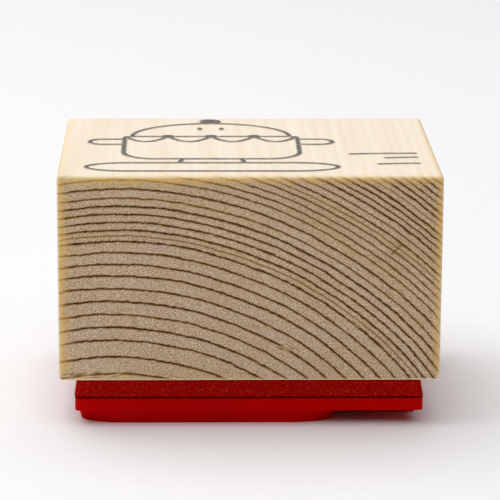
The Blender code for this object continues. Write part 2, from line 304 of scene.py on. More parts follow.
def arc(centre, radii, start, stop, count):
    """Points on an ellipse's arc, from one angle to another in degrees."""
    angle = np.radians(np.linspace(start, stop, count))
    return np.column_stack((centre[0] + radii[0] * np.cos(angle), centre[1] + radii[1] * np.sin(angle)))


def pot_line():
    """The pot's closed outline: straight sides, small corners at the rim and large ones below."""
    left, right = POT_CENTRE_X - POT_HALF_WIDTH, POT_CENTRE_X + POT_HALF_WIDTH
    rim, base = (POT_RIM_RADIUS,) * 2, (POT_BASE_RADIUS,) * 2
    return np.vstack((
        arc((right - rim[0], POT_RIM_Y - rim[1]), rim, 0.0, 90.0, 13),
        arc((left + rim[0], POT_RIM_Y - rim[1]), rim, 90.0, 180.0, 13),
        arc((left + base[0], POT_BASE_Y + base[1]), base, 180.0, 270.0, 25),
        arc((right - base[0], POT_BASE_Y + base[1]), base, 270.0, 360.0, 25)))


def lid_line():
    """The lid: half an ellipse standing on the pot's rim."""
    return arc((POT_CENTRE_X, POT_RIM_Y), (LID_HALF_WIDTH, LID_RISE), 0.0, 180.0, 97)


def handle_line(side):
    """A long side handle with a round end, starting and ending on the pot's side."""
    tip = POT_HALF_WIDTH + HANDLE_REACH - HANDLE_RADIUS
    bend = arc((tip, HANDLE_Y), (HANDLE_RADIUS, HANDLE_RADIUS), 90.0, -90.0, 33)
    ends = [(POT_HALF_WIDTH, HANDLE_Y + HANDLE_RADIUS), (POT_HALF_WIDTH, HANDLE_Y - HANDLE_RADIUS)]
    return np.vstack((ends[:1], bend, ends[1:])) * (side, 1.0) + (POT_CENTRE_X, 0.0)


def swag_line(index):
    """One hanging swag, a parabola between two points of the rim."""
    step = 2.0 * POT_HALF_WIDTH / SWAG_COUNT
    along = np.linspace(-1.0, 1.0, 41)
    middle = POT_CENTRE_X - POT_HALF_WIDTH + step * (index + 0.5)
    return np.column_stack((middle + along * step / 2.0, POT_RIM_Y - SWAG_DROP * (1.0 - along ** 2)))


def foot_line(side):
    """A short foot from the pot's base to the tray's back line, splayed outwards."""
    return np.array(((POT_CENTRE_X + side * FOOT_X, POT_BASE_Y),
                     (POT_CENTRE_X + side * (FOOT_X + FOOT_SPLAY), TRAY_FRONT_Y + 2.0 * TRAY_HALF_DEPTH)))


def vent_line(side):
    """A short upright stroke on the lid."""
    x = POT_CENTRE_X + side * VENT_X
    return np.array(((x, VENT_Y), (x, VENT_Y + VENT_HEIGHT)))


def tray_line():
    """The tray's closed outline: straight long sides and half-ellipses for ends."""
    centre_y = TRAY_FRONT_Y + TRAY_HALF_DEPTH
    reach = TRAY_HALF_LENGTH - TRAY_END_LENGTH
    radii = (TRAY_END_LENGTH, TRAY_HALF_DEPTH)
    return np.vstack((arc((POT_CENTRE_X + reach, centre_y), radii, -90.0, 90.0, 65),
                      arc((POT_CENTRE_X - reach, centre_y), radii, 90.0, 270.0, 65)))


def rule_line(kind):
    """One short rule that rises a little to the right with a slight bow."""
    along = np.linspace(0.0, 1.0, 25)
    x = RULE_RIGHT_X - RULE_LENGTHS[kind] * (1.0 - along)
    y = RULE_YS[kind] + RULE_RISE * along + RULE_BOW * 4.0 * along * (1.0 - along)
    return np.column_stack((x, y))


def fitted(points):
    """Points of the drawing, stretched to fill the die, about the die's centre."""
    return np.asarray(points) * PICTURE_SCALE


SIDES = (("left", -1.0), ("right", 1.0))
POT_AND_TRAY = ([("tray", fitted(tray_line()), True), ("pot", fitted(pot_line()), True),
                 ("lid", fitted(lid_line()), False)]
                + [(f"handle_{word}", fitted(handle_line(side)), False) for word, side in SIDES]
                + [(f"foot_{word}", fitted(foot_line(side)), False) for word, side in SIDES]
                + [(f"swag_{index}", fitted(swag_line(index)), False) for index in range(SWAG_COUNT)])
LOOSE_LINES = ([(f"vent_{word}", fitted(vent_line(side)), False) for word, side in SIDES]
               + [(f"rule_{kind}", fitted(rule_line(kind)), False) for kind in RULE_LENGTHS])
BEADS = [(POT_CENTRE_X + POT_HALF_WIDTH * (2.0 * index / SWAG_COUNT - 1.0), POT_RIM_Y)
         for index in range(1, SWAG_COUNT)]
SPOTS = ([(fitted((POT_CENTRE_X, POT_RIM_Y + LID_RISE + KNOB_RADIUS)), KNOB_RADIUS)]
         + [(fitted(centre), BEAD_RADIUS) for centre in BEADS])


def even_line(points, closed, step):
    """The same line with points an even step apart."""
    ring = np.vstack((points, points[:1])) if closed else points
    lengths = np.concatenate(([0.0], np.cumsum(np.linalg.norm(np.diff(ring, axis=0), axis=1))))
    count = max(4, int(round(lengths[-1] / step)))
    spots = np.linspace(0.0, lengths[-1], count, endpoint=not closed)
    return np.column_stack([np.interp(spots, lengths, ring[:, axis]) for axis in range(2)])


# ---------------------------------------------------------------- pine

def growth_rings(points):
    """The ring count, ring width, distance along a ring and radius at each point.

    Rings are cylinders about a pith that runs nearly along Y, below the block and left of its middle.
    Their widths follow SEASONS, so the count is a straight line in the radius within each run of years.
    Sine waves in the angle, the radius and the depth make the rings uneven."""
    pith_x = WOOD_LOW[0] + PITH_IN
    pith_z = WOOD_LOW[2] - PITH_BELOW
    along = points[:, 1] - WOOD_LOW[1]
    across = points[:, 0] - pith_x - PITH_TURN * along
    up = points[:, 2] - pith_z + PITH_DROP * along
    angle = np.arctan2(up, across)
    radius = np.hypot(across, up)
    wave = sum(height * np.sin(turns * angle + shift * radius / MM) for height, turns, shift in RING_WAVES)
    height, turns, shift = LONG_WAVE
    wave = wave + height * np.sin(shift * along / MM) * np.sin(turns * angle)
    radius = radius + wave * MM
    counts = np.cumsum([0] + [rings for rings, _ in SEASONS])
    limits = FIRST_RING + np.cumsum([0.0] + [rings * width * MM for rings, width in SEASONS])
    widths = np.array([width * MM for _, width in SEASONS])
    season = np.clip(np.searchsorted(limits, radius) - 1, 0, len(widths) - 1)
    count = counts[season] + (radius - limits[season]) / widths[season]
    return count, widths[season], angle * radius, radius


def ring_strength(count):
    """How dark each point's nearest ring is.

    Inner rings are darkest, the listed ones are bold or faint, and all differ a little by a fixed number
    from 0 to 1, the fraction that is left of a large sine."""
    number = np.round(count)
    dice = np.abs(np.sin(number * 12.9898 + 4.1414) * 43758.5453) % 1.0
    strength = (RING_DARKNESS - OUTER_RINGS_PALER * smooth_step(*INNER_TO_OUTER, number)
                + DARKNESS_SPREAD * (dice - 0.5))
    strength = np.where(np.isin(number, BOLD_RINGS), strength + BOLD_EXTRA, strength)
    return np.where(np.isin(number, FAINT_RINGS), FAINT_DARKNESS, strength)


def ring_ridge(count, width):
    """1 on a ring's dark late wood, falling as exp(-d^2) with d the distance over RIDGE_REACH."""
    away = np.abs(count - np.round(count)) * width
    return np.exp(-(away / RIDGE_REACH) ** 2)


def torn_fibres(points):
    """1 in the middle of each of TORN_PLACES, fading as exp(-d^4) with d the distance over the half sizes."""
    spread = np.zeros(len(points))
    for across, up, reach, height in TORN_PLACES:
        sideways = (points[:, 0] - WOOD_LOW[0] - across * MM) / (reach * MM)
        upwards = (points[:, 2] - WOOD_LOW[2] - up * MM) / (height * MM)
        spread = np.maximum(spread, np.exp(-(sideways ** 2 + upwards ** 2) ** 2))
    return spread


def drying_check(points):
    """1 on the short split between CHECK_ENDS, falling as exp(-d^2) with d the distance over CHECK_REACH."""
    start, stop = (np.array(end) * MM for end in CHECK_ENDS)
    spots = points[:, [0, 2]] - WOOD_LOW[[0, 2]]
    share = np.clip((spots - start) @ (stop - start) / np.sum((stop - start) ** 2), 0.0, 1.0)
    away = np.linalg.norm(spots - start - share[:, None] * (stop - start), axis=1)
    return np.exp(-(away / CHECK_REACH) ** 2)


def golden_and_lit_edge(points):
    """1 on the block's edges, falling as exp(-d^2) with d the distance to the nearest edge over a reach; it
    marks golden wood and painted highlight.

    The reach wanders with noise, is longer at the left and shorter along the bottom."""
    half, centre = (WOOD_HIGH - WOOD_LOW) / 2.0, (WOOD_HIGH + WOOD_LOW) / 2.0
    inside = np.sort(half - np.abs(points - centre), axis=1)[:, 1]
    wander = 1.0 + GOLDEN_WANDER * lattice_noise(points, GOLDEN_WANDER_CELL, 31)
    leftward = smooth_step(GOLDEN_LEFT_SPAN, -GOLDEN_LEFT_SPAN, points[:, 0])
    low_down = smooth_step(GOLDEN_LOW_SPAN[1], GOLDEN_LOW_SPAN[0], points[:, 2] - WOOD_LOW[2])
    reach = GOLDEN_REACH * wander * (1.0 + GOLDEN_LEFT_EXTRA * leftward) * (1.0 - GOLDEN_LOW_LOSS * low_down)
    return np.exp(-(np.maximum(inside, 0.0) / reach) ** 2)


def put_grain(piece, points, end_grain):
    """The attributes that the pine material reads."""
    count, width, arc_length, radius = growth_rings(points)
    put_attribute(piece, "ring_count", count)
    put_attribute(piece, "ring_gap", width / MM)
    put_attribute(piece, "ring_dark", ring_strength(count))
    put_attribute(piece, "ring_arc", arc_length)
    put_attribute(piece, "ring_radius", radius)
    put_attribute(piece, "end_grain", end_grain)
    front = smooth_step(MARKS_FADE[1], MARKS_FADE[0], points[:, 1] - WOOD_LOW[1])
    put_attribute(piece, "torn", torn_fibres(points) * front)
    put_attribute(piece, "check", drying_check(points) * front)
    put_attribute(piece, "golden", golden_and_lit_edge(points))


def make_block(material):
    """A rounded box on a fine grid, its late wood a little proud and its ends a little rough.

    Each point moves along its way out by the ring's ridge, two sizes of saw roughness on the end grain
    and slow dents that grow towards the edges."""
    half = (WOOD_HIGH - WOOD_LOW) / 2.0
    centre = (WOOD_HIGH + WOOD_LOW) / 2.0
    steps = (END_GRAIN_STEP, LONG_GRAIN_STEP, END_GRAIN_STEP)
    flat, faces = box_shell([eased_ticks(half[axis], EDGE_RADIUS, steps[axis]) for axis in range(3)])
    points, out = eased_points(flat, half, EDGE_RADIUS)
    place = points + centre
    end_grain = out[:, 1] ** 2
    count, width = growth_rings(place)[:2]
    ends_share = LONG_GRAIN_SHARE + (1.0 - LONG_GRAIN_SHARE) * end_grain
    proud = RING_RELIEF * (ring_ridge(count, width) - 0.5) * ends_share
    fine, coarse = (lattice_noise(place, cell, seed) for cell, seed in zip(SAW_CELLS, (3, 5)))
    rough = SAW_RELIEF * end_grain * (fine + SAW_COARSE_SHARE * coarse)
    dents = EDGE_DENTS * (1.0 - np.max(np.abs(out), axis=1)) * lattice_noise(place, DENT_CELL, 9)
    place = place + out * (proud + rough + dents - RING_RELIEF / 2.0)[:, None]
    piece = put_mesh("pine_block", place, faces.tolist())
    put_grain(piece, place, end_grain)
    finish_piece(piece, material, "block", ["wood_block"])


# ---------------------------------------------------------------- index print

def ink_strip(line, closed, seed):
    """One stroke of ink: a low bank along a line, its top 1 - x^4 over its width and its sides wandering.

    An open stroke narrows as a half circle at its ends. Returns points, faces, and how dense the ink is
    at each point, from 1 in the middle to 0 at the sides."""
    path = even_line(line, closed, INK_STEP)
    count = len(path)
    if closed:
        ahead = np.roll(path, -1, axis=0) - np.roll(path, 1, axis=0)
    else:
        ahead = np.gradient(path, axis=0)
    ahead /= np.linalg.norm(ahead, axis=1, keepdims=True)
    side = np.column_stack((-ahead[:, 1], ahead[:, 0]))
    across = np.linspace(-1.0, 1.0, 9)
    flat = np.column_stack((path, np.zeros(count)))
    uneven = 1.0
    for place, (spread, cell) in enumerate(INK_SIDES_SPREAD):
        uneven = uneven + spread * lattice_noise(flat, cell, seed + place)
    width = LINE_WIDTH * INK_WIDTH_SHARE * uneven
    if not closed:
        along = np.concatenate(([0.0], np.cumsum(np.linalg.norm(np.diff(path, axis=0), axis=1))))
        to_end = np.minimum(along, along[-1] - along)
        short = np.clip(1.0 - to_end / (INK_END_ROUND * LINE_WIDTH), 0.0, INK_END_BLUNT)
        width = width * np.sqrt(1.0 - short ** 2)
    top = INK_HIGH[2] - INK_LOW[2]
    rise = np.concatenate((top * (1.0 - across ** 4), np.zeros(len(across) - 2)))
    spread = np.concatenate((across, across[-2:0:-1]))
    points = np.empty((count, len(spread), 3))
    points[:, :, :2] = path[:, None, :] + side[:, None, :] * (width[:, None] * spread[None, :])[:, :, None]
    points[:, :, 2] = rise[None, :]
    dense = np.tile(1.0 - np.abs(spread), (count, 1))
    if not closed:
        dense *= np.clip(to_end / (INK_END_FADE * LINE_WIDTH), 0.0, 1.0)[:, None]
    size = len(spread)
    index = np.arange(count * size).reshape(count, size)
    if not closed:
        rows, following = index[:-1], index[1:]
    else:
        rows, following = index, np.roll(index, -1, axis=0)
    turned = np.roll(rows, -1, axis=1), np.roll(following, -1, axis=1)
    quads = np.stack((rows, turned[0], turned[1], following), axis=-1).reshape(-1, 4).tolist()
    if not closed:
        quads += [index[0].tolist()[::-1], index[-1].tolist()]
    return points.reshape(-1, 3), quads, dense.ravel()


def ink_spot(centre, radius):
    """A filled round spot of ink, its top 1 - r^6, made of rings of points and closed underneath."""
    turns, rings = 48, 7
    angle = np.linspace(0.0, 2.0 * math.pi, turns, endpoint=False)
    reach = np.linspace(0.0, 1.0, rings)[1:] * (radius + INK_SPOT_EXTRA)
    top = INK_HIGH[2] - INK_LOW[2]
    grid = np.empty((rings - 1, turns, 3))
    grid[:, :, 0] = centre[0] + reach[:, None] * np.cos(angle)[None, :]
    grid[:, :, 1] = centre[1] + reach[:, None] * np.sin(angle)[None, :]
    grid[:, :, 2] = (top * (1.0 - (reach / reach[-1]) ** 6))[:, None]
    points = np.vstack(([[centre[0], centre[1], top]], grid.reshape(-1, 3)))
    dense = np.repeat(np.clip((reach[-1] - reach) / INK_SPOT_RIM, 0.0, 1.0), turns)
    dense = np.concatenate(([1.0], dense))
    index = 1 + np.arange((rings - 1) * turns).reshape(rings - 1, turns)
    inner, outer = index[:-1], index[1:]
    quads = np.stack((inner, outer, np.roll(outer, -1, 1), np.roll(inner, -1, 1)), axis=-1)
    fan = np.column_stack((np.zeros(turns, int), index[0], np.roll(index[0], -1)))
    faces = quads.reshape(-1, 4).tolist() + fan.tolist() + [index[-1].tolist()[::-1]]
    return points, faces, dense


def make_ink(name, node, lines, spots, material):
    """Ink strokes and spots as one piece over the block's top."""
    parts = [ink_strip(line, closed, 20 + 2 * place) for place, (_, line, closed) in enumerate(lines)]
    parts += [ink_spot(centre, radius) for centre, radius in spots]
    points, faces, dense, start = [], [], [], 0
    for part_points, part_faces, part_dense in parts:
        points.append(part_points)
        dense.append(part_dense)
        faces += [[start + corner for corner in face] for face in part_faces]
        start += len(part_points)
    shift = (DIE_CENTRE[0] + PRINT_SHIFT_X, DIE_CENTRE[1] + PRINT_SHIFT_Y, INK_LOW[2])
    points = np.vstack(points) + shift
    piece = put_mesh(name, points, faces)
    put_attribute(piece, "ink", np.concatenate(dense))
    put_grain(piece, points, np.zeros(len(points)))
    finish_piece(piece, material, "block", [node])


# ---------------------------------------------------------------- rubber die

def away_from_lines(places):
    """How far each place lies outside the nearest printing line, and the direction away from it.

    Only lines within SEARCH_REACH are looked at, and a place with none so near is a metre away."""
    parts = [(even_line(line, closed, LINE_STEP), LINE_WIDTH / 2.0)
             for _, line, closed in POT_AND_TRAY + LOOSE_LINES]
    parts += [(np.array([centre]), radius) for centre, radius in SPOTS]
    nearest = np.full(len(places), 1.0)
    away = np.zeros((len(places), 2))
    for line, half in parts:
        low, high = line.min(axis=0) - SEARCH_REACH, line.max(axis=0) + SEARCH_REACH
        near = np.flatnonzero(np.all((places > low) & (places < high), axis=1))
        for start in range(0, len(near), SEARCH_ROWS):
            some = near[start:start + SEARCH_ROWS]
            offset = places[some][:, None, :] - line[None, :, :]
            squared = np.einsum("ijk,ijk->ij", offset, offset)
            best = squared.argmin(axis=1)
            rows = np.arange(len(some))
            distance = np.sqrt(squared[rows, best])
            closer = distance - half < nearest[some]
            nearest[some[closer]] = (distance - half)[closer]
            away[some[closer]] = offset[rows, best][closer] / np.maximum(distance[closer], 1e-9)[:, None]
    return nearest, away


def relief_depth(outside):
    """Height over the printing face: a steep flank with a rounded foot.

    It is RELIEF_HEIGHT times t / (1 + t^6)^(1/6), where t is the distance outside a line over RIDGE_RUN."""
    run = np.maximum(outside, 0.0) / RIDGE_RUN
    risen = run / (1.0 + run ** 6) ** (1.0 / 6.0)
    return RELIEF_HEIGHT * risen


def round_corners(places, half, radius):
    """Moves a rectangle's corner squares onto quarter discs of the given radius."""
    core = np.clip(places, radius - half, half - radius)
    out = places - core
    length = np.linalg.norm(out, axis=1)
    square = np.abs(out).max(axis=1)
    shrink = np.where(length > 0.0, square / np.maximum(length, 1e-12), 1.0)
    return core + out * shrink[:, None]


def make_die(material):
    """One moulding: a height field of the picture below, cut sides, and a flat back.

    The printing face is z = 0. Grid points beside a line's edge slide onto it, so edges stay crisp. The
    picture is drawn as seen from above, so from below it is mirrored, as a stamp's has to be."""
    half = DIE_SIZE[:2] / 2.0
    counts = [int(round(2.0 * half[axis] / DIE_STEP)) + 1 for axis in range(2)]
    x, y = np.meshgrid(*(np.linspace(-half[axis], half[axis], counts[axis]) for axis in range(2)),
                       indexing="ij")
    places = round_corners(np.column_stack((x.ravel(), y.ravel())), half, SHEET_CORNER)
    outside, away = away_from_lines(places)
    inner = np.ones(counts, bool)
    inner[[0, -1], :] = inner[:, [0, -1]] = False
    slide = (np.abs(outside) < 0.5 * DIE_STEP) & inner.ravel()
    places[slide] -= away[slide] * outside[slide][:, None]
    outside[slide] = 0.0
    flat = np.column_stack((places, np.zeros(len(places))))
    floor_share = smooth_step(0.6, 1.0, outside / RIDGE_RUN)
    depth = relief_depth(outside) + floor_share * FLOOR_WAVE * lattice_noise(flat, FLOOR_WAVE_CELL, 11)
    grid = np.column_stack((places + DIE_CENTRE[:2], DIE_LOW[2] + depth))
    index = np.arange(len(grid)).reshape(counts)
    faces = np.stack((index[:-1, :-1], index[:-1, 1:], index[1:, 1:], index[1:, :-1]), axis=-1)
    faces = faces.reshape(-1, 4)
    rim = np.concatenate((index[:-1, 0], index[-1, :-1], index[:0:-1, -1], index[0, :0:-1]))
    levels = DIE_WALL_LEVELS
    share = np.linspace(0.0, 1.0, levels + 1)[1:]
    rim_points = grid[rim]
    outward = rim_points[:, :2] - DIE_CENTRE[:2]
    outward = outward / np.linalg.norm(outward / half, axis=1, keepdims=True) / half
    outward /= np.linalg.norm(outward, axis=1, keepdims=True)
    wall = np.repeat(rim_points[None, :, :], levels, axis=0)
    wall[:, :, 2] += (DIE_HIGH[2] - rim_points[:, 2])[None, :] * share[:, None]
    upright = wall.reshape(-1, 3) * (1.0, 1.0, CUT_STRETCH)
    cut = CUT_WAVE * lattice_noise(upright, CUT_CELL, 13).reshape(levels, -1)
    wall[:, :, :2] -= outward[None, :, :] * (CUT_DEPTH + cut)[:, :, None]
    start = len(grid)
    rows = np.vstack((rim[None, :], start + np.arange(levels * len(rim)).reshape(levels, -1)))
    lower, upper = rows[:-1], rows[1:]
    sides = np.stack((lower, np.roll(lower, -1, 1), np.roll(upper, -1, 1), upper), axis=-1).reshape(-1, 4)
    middle = start + levels * len(rim)
    back = np.column_stack((rows[-1], np.roll(rows[-1], -1), np.full(len(rim), middle)))
    points = np.vstack((grid, wall.reshape(-1, 3), [[DIE_CENTRE[0], DIE_CENTRE[1], DIE_HIGH[2]]]))
    piece = put_mesh("moulded_die", points, faces.tolist() + sides.tolist() + back.tolist())
    mark_edges(piece)
    finish_piece(piece, material, "die", ["rubber_die"])


def mark_edges(piece):
    """Keeps smooth shading from running over edges sharper than SHARP_ANGLE."""
    piece.data.set_sharp_from_angle(angle=math.radians(SHARP_ANGLE))


# ---------------------------------------------------------------- foam cushion

def make_foam(material):
    """A cut slab of foam: its sides lean in on a hollow curve, and open cells pit them.

    The lean is FOAM_FLARE times 1 - (1 - t)^FOAM_HOLLOW with t the share of the height. The cells are two
    sizes of noise, deepest at half height."""
    half = (FOAM_HIGH - FOAM_LOW) / 2.0
    centre = (FOAM_HIGH + FOAM_LOW) / 2.0
    ticks = [np.linspace(-half[axis], half[axis], int(round(2.0 * half[axis] / step)) + 1)
             for axis, step in enumerate((FOAM_STEP, FOAM_STEP, FOAM_LEVEL_STEP))]
    points, faces = box_shell(ticks)
    side = np.maximum(np.abs(points[:, 0]) >= half[0] - 1e-9, np.abs(points[:, 1]) >= half[1] - 1e-9)
    points[:, :2] = round_corners(points[:, :2], half[:2], FOAM_CORNER)
    rise = (points[:, 2] + half[2]) / (2.0 * half[2])
    lean = FOAM_FLARE * (1.0 - (1.0 - rise) ** FOAM_HOLLOW)
    points[:, :2] *= 1.0 - lean[:, None] / half[:2]
    out = points[:, :2] / half[:2] ** 2
    out /= np.maximum(np.linalg.norm(out, axis=1, keepdims=True), 1e-9)
    place = points + centre
    fine, coarse = (lattice_noise(place, cell, seed) for cell, seed in zip(CELL_SIZES, (17, 19)))
    cells = fine + CELL_COARSE_SHARE * coarse
    inside = side * np.sin(math.pi * np.clip(rise, 0.0, 1.0)) ** 0.5
    place[:, :2] -= out * (inside * (CELL_DEPTH + CELL_SPREAD * cells))[:, None]
    piece = put_mesh("cushion_foam", place, faces.tolist())
    mark_edges(piece)
    finish_piece(piece, material, "die", ["foam_cushion"])
    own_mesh(piece)


# ---------------------------------------------------------------- materials

# Colours of pine's end grain; a pair is the two ends of a blend
EARLY_WOOD = ((0.62, 0.442, 0.280), (0.715, 0.530, 0.365))
PINK_YEARS = (0.70, 0.520, 0.425)
YELLOW_YEARS = (0.64, 0.460, 0.245)
CELL_HOLLOWS = (0.33, 0.205, 0.10)
CELL_WALLS = (0.99, 0.85, 0.62)
RING_HALO = (0.50, 0.250, 0.045)
LATE_WOOD = ((0.145, 0.053, 0.001), (0.072, 0.022, 0.0005))
TORN_LIGHT = (0.82, 0.58, 0.26)
TORN_DARK = (0.26, 0.11, 0.012)
RESIN_CANAL = (0.07, 0.025, 0.004)
CHECK_SHADE = (0.15, 0.065, 0.010)
# Colours of pine's long grain and eased edges; the golden edge colour is partly painted highlight
LONG_WOOD = ((0.84, 0.735, 0.595), (0.88, 0.785, 0.655))
LONG_RING = (0.70, 0.50, 0.28)
GOLDEN_WOOD_AND_HIGHLIGHT = (0.93, 0.60, 0.17)
GOLDEN_RING = (0.30, 0.13, 0.03)
# Colours of the other finishes
GREY_INK = (0.118, 0.112, 0.104)
RUBBER_RED = ((0.56, 0.0003, 0.0004), (0.64, 0.0004, 0.0005))
RUBBER_BLOOM = (0.52, 0.01, 0.01)
# Painted shade along the rubber's top edge, where it meets the film and foam
RUBBER_JOINT_SHADE = (0.20, 0.0004, 0.0004)
FOAM_RED = ((0.26, 0.0020, 0.0010), (0.62, 0.0050, 0.0025))
FOAM_SPECK = (0.85, 0.10, 0.065)
FOAM_SHADE = (0.10, 0.001, 0.001)
# The film's dark red stands partly for painted shade in the joints between block, foam and rubber
FILM_RED_AND_SHADE = ((0.09, 0.002, 0.002), (0.14, 0.004, 0.003))
CARD = ((0.90, 0.89, 0.90), (0.91, 0.90, 0.91))

# Object coordinates are squeezed by this, so that a pattern runs out into fibres along Y
ALONG_GRAIN = (1.0, 0.02, 1.0)


class Shader:
    """A material's node tree, with short calls for the nodes that these finishes use."""

    def __init__(self, name):
        self.material = bpy.data.materials.new(name)
        self.material.use_nodes = True
        self.tree = self.material.node_tree
        self.surface = self.tree.nodes["Principled BSDF"]

    def node(self, kind, **properties):
        """A new node with its properties set."""
        node = self.tree.nodes.new(kind)
        for key, value in properties.items():
            setattr(node, key, value)
        return node

    def join(self, value, socket):
        """Sets a socket to a number, or links another socket to it."""
        if isinstance(value, bpy.types.NodeSocket):
            self.tree.links.new(value, socket)
        else:
            socket.default_value = value

    def math(self, operation, first, second=0.0):
        """One sum of a Math node."""
        node = self.node("ShaderNodeMath", operation=operation)
        for socket, value in zip(node.inputs, (first, second)):
            self.join(value, socket)
        return node.outputs[0]

    def place(self, scale=(1.0, 1.0, 1.0)):
        """Object coordinates, stretched."""
        source = self.node("ShaderNodeTexCoord").outputs["Object"]
        mapping = self.node("ShaderNodeMapping", vector_type="POINT")
        self.join(source, mapping.inputs["Vector"])
        mapping.inputs["Scale"].default_value = scale
        return mapping.outputs["Vector"]

    def ring_place(self, along, outwards):
        """A vector of the distance along a ring and the radius, each stretched."""
        place = self.node("ShaderNodeCombineXYZ")
        self.join(self.math("MULTIPLY", self.attribute("ring_arc"), along), place.inputs["X"])
        self.join(self.math("MULTIPLY", self.attribute("ring_radius"), outwards), place.inputs["Y"])
        return place.outputs["Vector"]

    def height(self):
        """Height over the table, from the Object coordinates."""
        split = self.node("ShaderNodeSeparateXYZ")
        self.join(self.place(), split.inputs["Vector"])
        return split.outputs["Z"]

    def noise(self, vector, scale, detail=2.0, roughness=0.5):
        """Noise from 0 to 1 over a vector in metres; scale is how many waves a metre holds."""
        node = self.node("ShaderNodeTexNoise")
        self.join(vector, node.inputs["Vector"])
        for key, value in (("Scale", scale), ("Detail", detail), ("Roughness", roughness)):
            node.inputs[key].default_value = value
        return node.outputs["Fac"]

    def cells(self, vector, scale):
        """A Voronoi node over a vector in metres; scale is how many cells a metre holds."""
        node = self.node("ShaderNodeTexVoronoi", feature="F1")
        self.join(vector, node.inputs["Vector"])
        node.inputs["Scale"].default_value = scale
        return node

    def remap(self, value, low, high, to_low=0.0, to_high=1.0, smooth=False):
        """A value's range carried to another, held at the ends."""
        node = self.node("ShaderNodeMapRange", interpolation_type="SMOOTHSTEP" if smooth else "LINEAR")
        for socket, number in zip(node.inputs, (value, low, high, to_low, to_high)):
            self.join(number, socket)
        return node.outputs["Result"]

    def attribute(self, name):
        """A mesh attribute's number."""
        return self.node("ShaderNodeAttribute", attribute_name=name).outputs["Fac"]

    def blend(self, share, first, second):
        """Two colours mixed by a share."""
        node = self.node("ShaderNodeMix", data_type="RGBA")
        self.join(share, node.inputs[0])
        for socket, colour in ((node.inputs[6], first), (node.inputs[7], second)):
            self.join((*colour, 1.0) if isinstance(colour, tuple) else colour, socket)
        return node.outputs[2]

    def bump(self, height, strength, distance):
        """A bump's normal."""
        node = self.node("ShaderNodeBump")
        node.inputs["Strength"].default_value = strength
        node.inputs["Distance"].default_value = distance
        self.join(height, node.inputs["Height"])
        return node.outputs["Normal"]

    def set(self, **values):
        """Sockets of the surface, by name with underscores for spaces."""
        for key, value in values.items():
            self.join(value, self.surface.inputs[key.replace("_", " ")])


def late_wood(shader, ragged):
    """The share of dark late wood, the distance from the nearest ring, and how wide the ring's dark is.

    Distances are in millimetres, shifted by the ragged noise, stretched outwards and shrunk towards the
    pith, so that the dark is sharp outwards and soft inwards. Rays cut it into beads."""
    count = shader.attribute("ring_count")
    strength = shader.attribute("ring_dark")
    signed = shader.math("SUBTRACT", count, shader.math("ROUND", count))
    signed = shader.math("ADD", shader.math("MULTIPLY", signed, shader.attribute("ring_gap")), ragged)
    away = shader.math("MAXIMUM", shader.math("MULTIPLY", signed, 1.3),
                       shader.math("MULTIPLY", signed, -0.85))
    beads = shader.noise(shader.ring_place(1.0, 0.25), scale=2600.0)
    width = shader.math("MULTIPLY", shader.remap(strength, 0.2, 1.2, 0.095, 0.205),
                        shader.remap(beads, 0.3, 0.7, 0.70, 1.25))
    late = shader.math("SUBTRACT", 1.0, shader.remap(away, 0.03, width, smooth=True))
    dark = shader.math("MULTIPLY", late, shader.remap(strength, 0.2, 0.8, 0.45, 1.0))
    dark = shader.math("MULTIPLY", dark, shader.remap(beads, 0.28, 0.5, 0.74, 1.0))
    return dark, away, width


def early_wood(shader, fine, away, width):
    """The tan wood between the rings: mottled, pink and yellow by the year, speckled by its cells, and
    brown beside a ring."""
    mottle = shader.noise(shader.place(), scale=190.0, detail=3.0)
    colour = shader.blend(shader.remap(mottle, 0.3, 0.7), *EARLY_WOOD)
    tint = shader.noise(shader.ring_place(0.3, 1.0), scale=430.0)
    colour = shader.blend(shader.remap(tint, 0.48, 0.62, 0.0, 0.45), colour, PINK_YEARS)
    colour = shader.blend(shader.remap(tint, 0.50, 0.36, 0.0, 0.45), colour, YELLOW_YEARS)
    colour = shader.blend(shader.remap(fine, 0.48, 0.64, 0.0, 1.0), colour, CELL_HOLLOWS)
    colour = shader.blend(shader.remap(fine, 0.48, 0.34, 0.0, 0.9), colour, CELL_WALLS)
    beside = shader.math("ADD", width, 0.09)
    halo = shader.math("SUBTRACT", 1.0, shader.remap(away, 0.0, beside, smooth=True))
    return shader.blend(shader.math("MULTIPLY", halo, 0.62), colour, RING_HALO)


def end_marks(shader, colour):
    """Torn fibres, resin canals and the drying check over an end-grain colour."""
    torn = shader.attribute("torn")
    shreds = shader.noise(shader.ring_place(0.13, 1.0), scale=4600.0, roughness=0.6)
    pale = shader.math("MULTIPLY", torn, shader.remap(shreds, 0.50, 0.64, 0.0, 0.8))
    colour = shader.blend(pale, colour, TORN_LIGHT)
    deep = shader.math("MULTIPLY", torn, shader.remap(shreds, 0.47, 0.36, 0.0, 0.8))
    colour = shader.blend(deep, colour, TORN_DARK)
    canals = shader.cells(shader.place(ALONG_GRAIN), 430.0)
    chance = shader.node("ShaderNodeSeparateColor")
    shader.join(canals.outputs["Color"], chance.inputs["Color"])
    canal = shader.math("MULTIPLY", shader.remap(canals.outputs["Distance"], 0.045, 0.025),
                        shader.remap(chance.outputs["Red"], 0.74, 0.75))
    colour = shader.blend(canal, colour, RESIN_CANAL)
    check = shader.remap(shader.attribute("check"), 0.66, 0.90, 0.0, 0.85)
    return shader.blend(check, colour, CHECK_SHADE)


